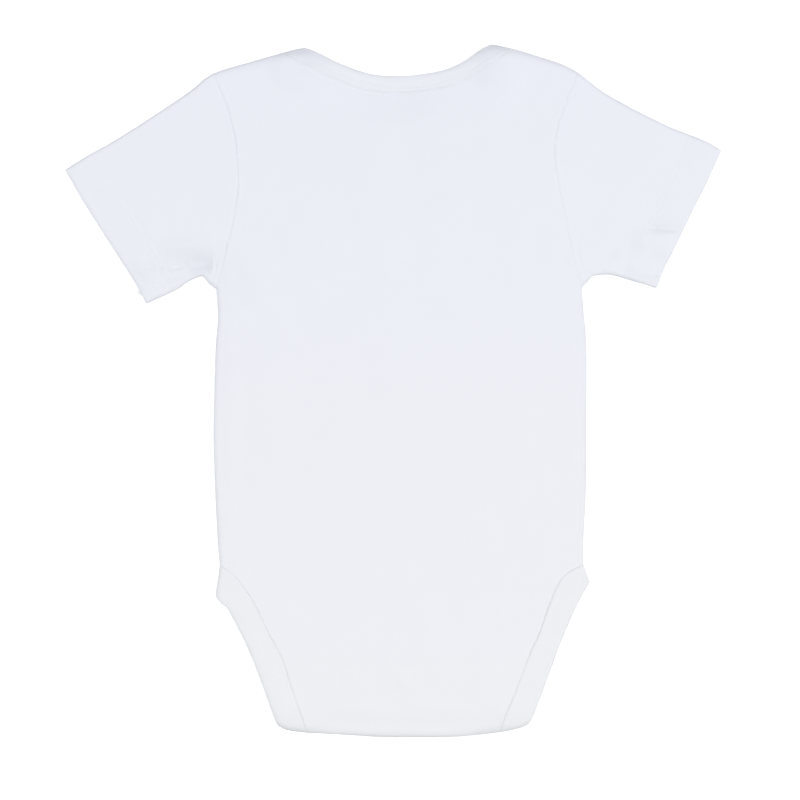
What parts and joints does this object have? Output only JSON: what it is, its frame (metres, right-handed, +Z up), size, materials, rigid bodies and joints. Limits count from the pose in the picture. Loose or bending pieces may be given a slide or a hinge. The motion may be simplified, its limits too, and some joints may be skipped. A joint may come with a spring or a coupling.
{
  "type": "short-sleeved baby bodysuit",
  "caption": "Baby bodysuit in plain cotton knit, short sleeves, lapped shoulders, bound leg openings and a snap crotch, laid flat with its back up.",
  "frame": {"origin": "middle of the garment's outline, on the surface that it lies on", "axes": "+X to the right across the sleeves as seen from above, +Y up the garment from crotch to neck, +Z up from the surface through the cloth"},
  "size_m": [0.3928, 0.4148, 0.0066],
  "materials": {
    "jersey": "fine white cotton knit, matt",
    "binding": "white cotton rib, folded and stitched, matt",
    "snap_lacquer": "white lacquer, satin"
  },
  "bodies": {
    "root": {"back_panel": "jersey", "front_panel": "jersey", "sleeve_left": "jersey", "sleeve_right": "jersey", "neck_binding_back": "binding", "neck_binding_front": "binding", "leg_band_left": "binding", "leg_band_right": "binding", "snap_left": "snap_lacquer", "snap_middle": "snap_lacquer", "snap_right": "snap_lacquer"}
  },
  "joints": []
}
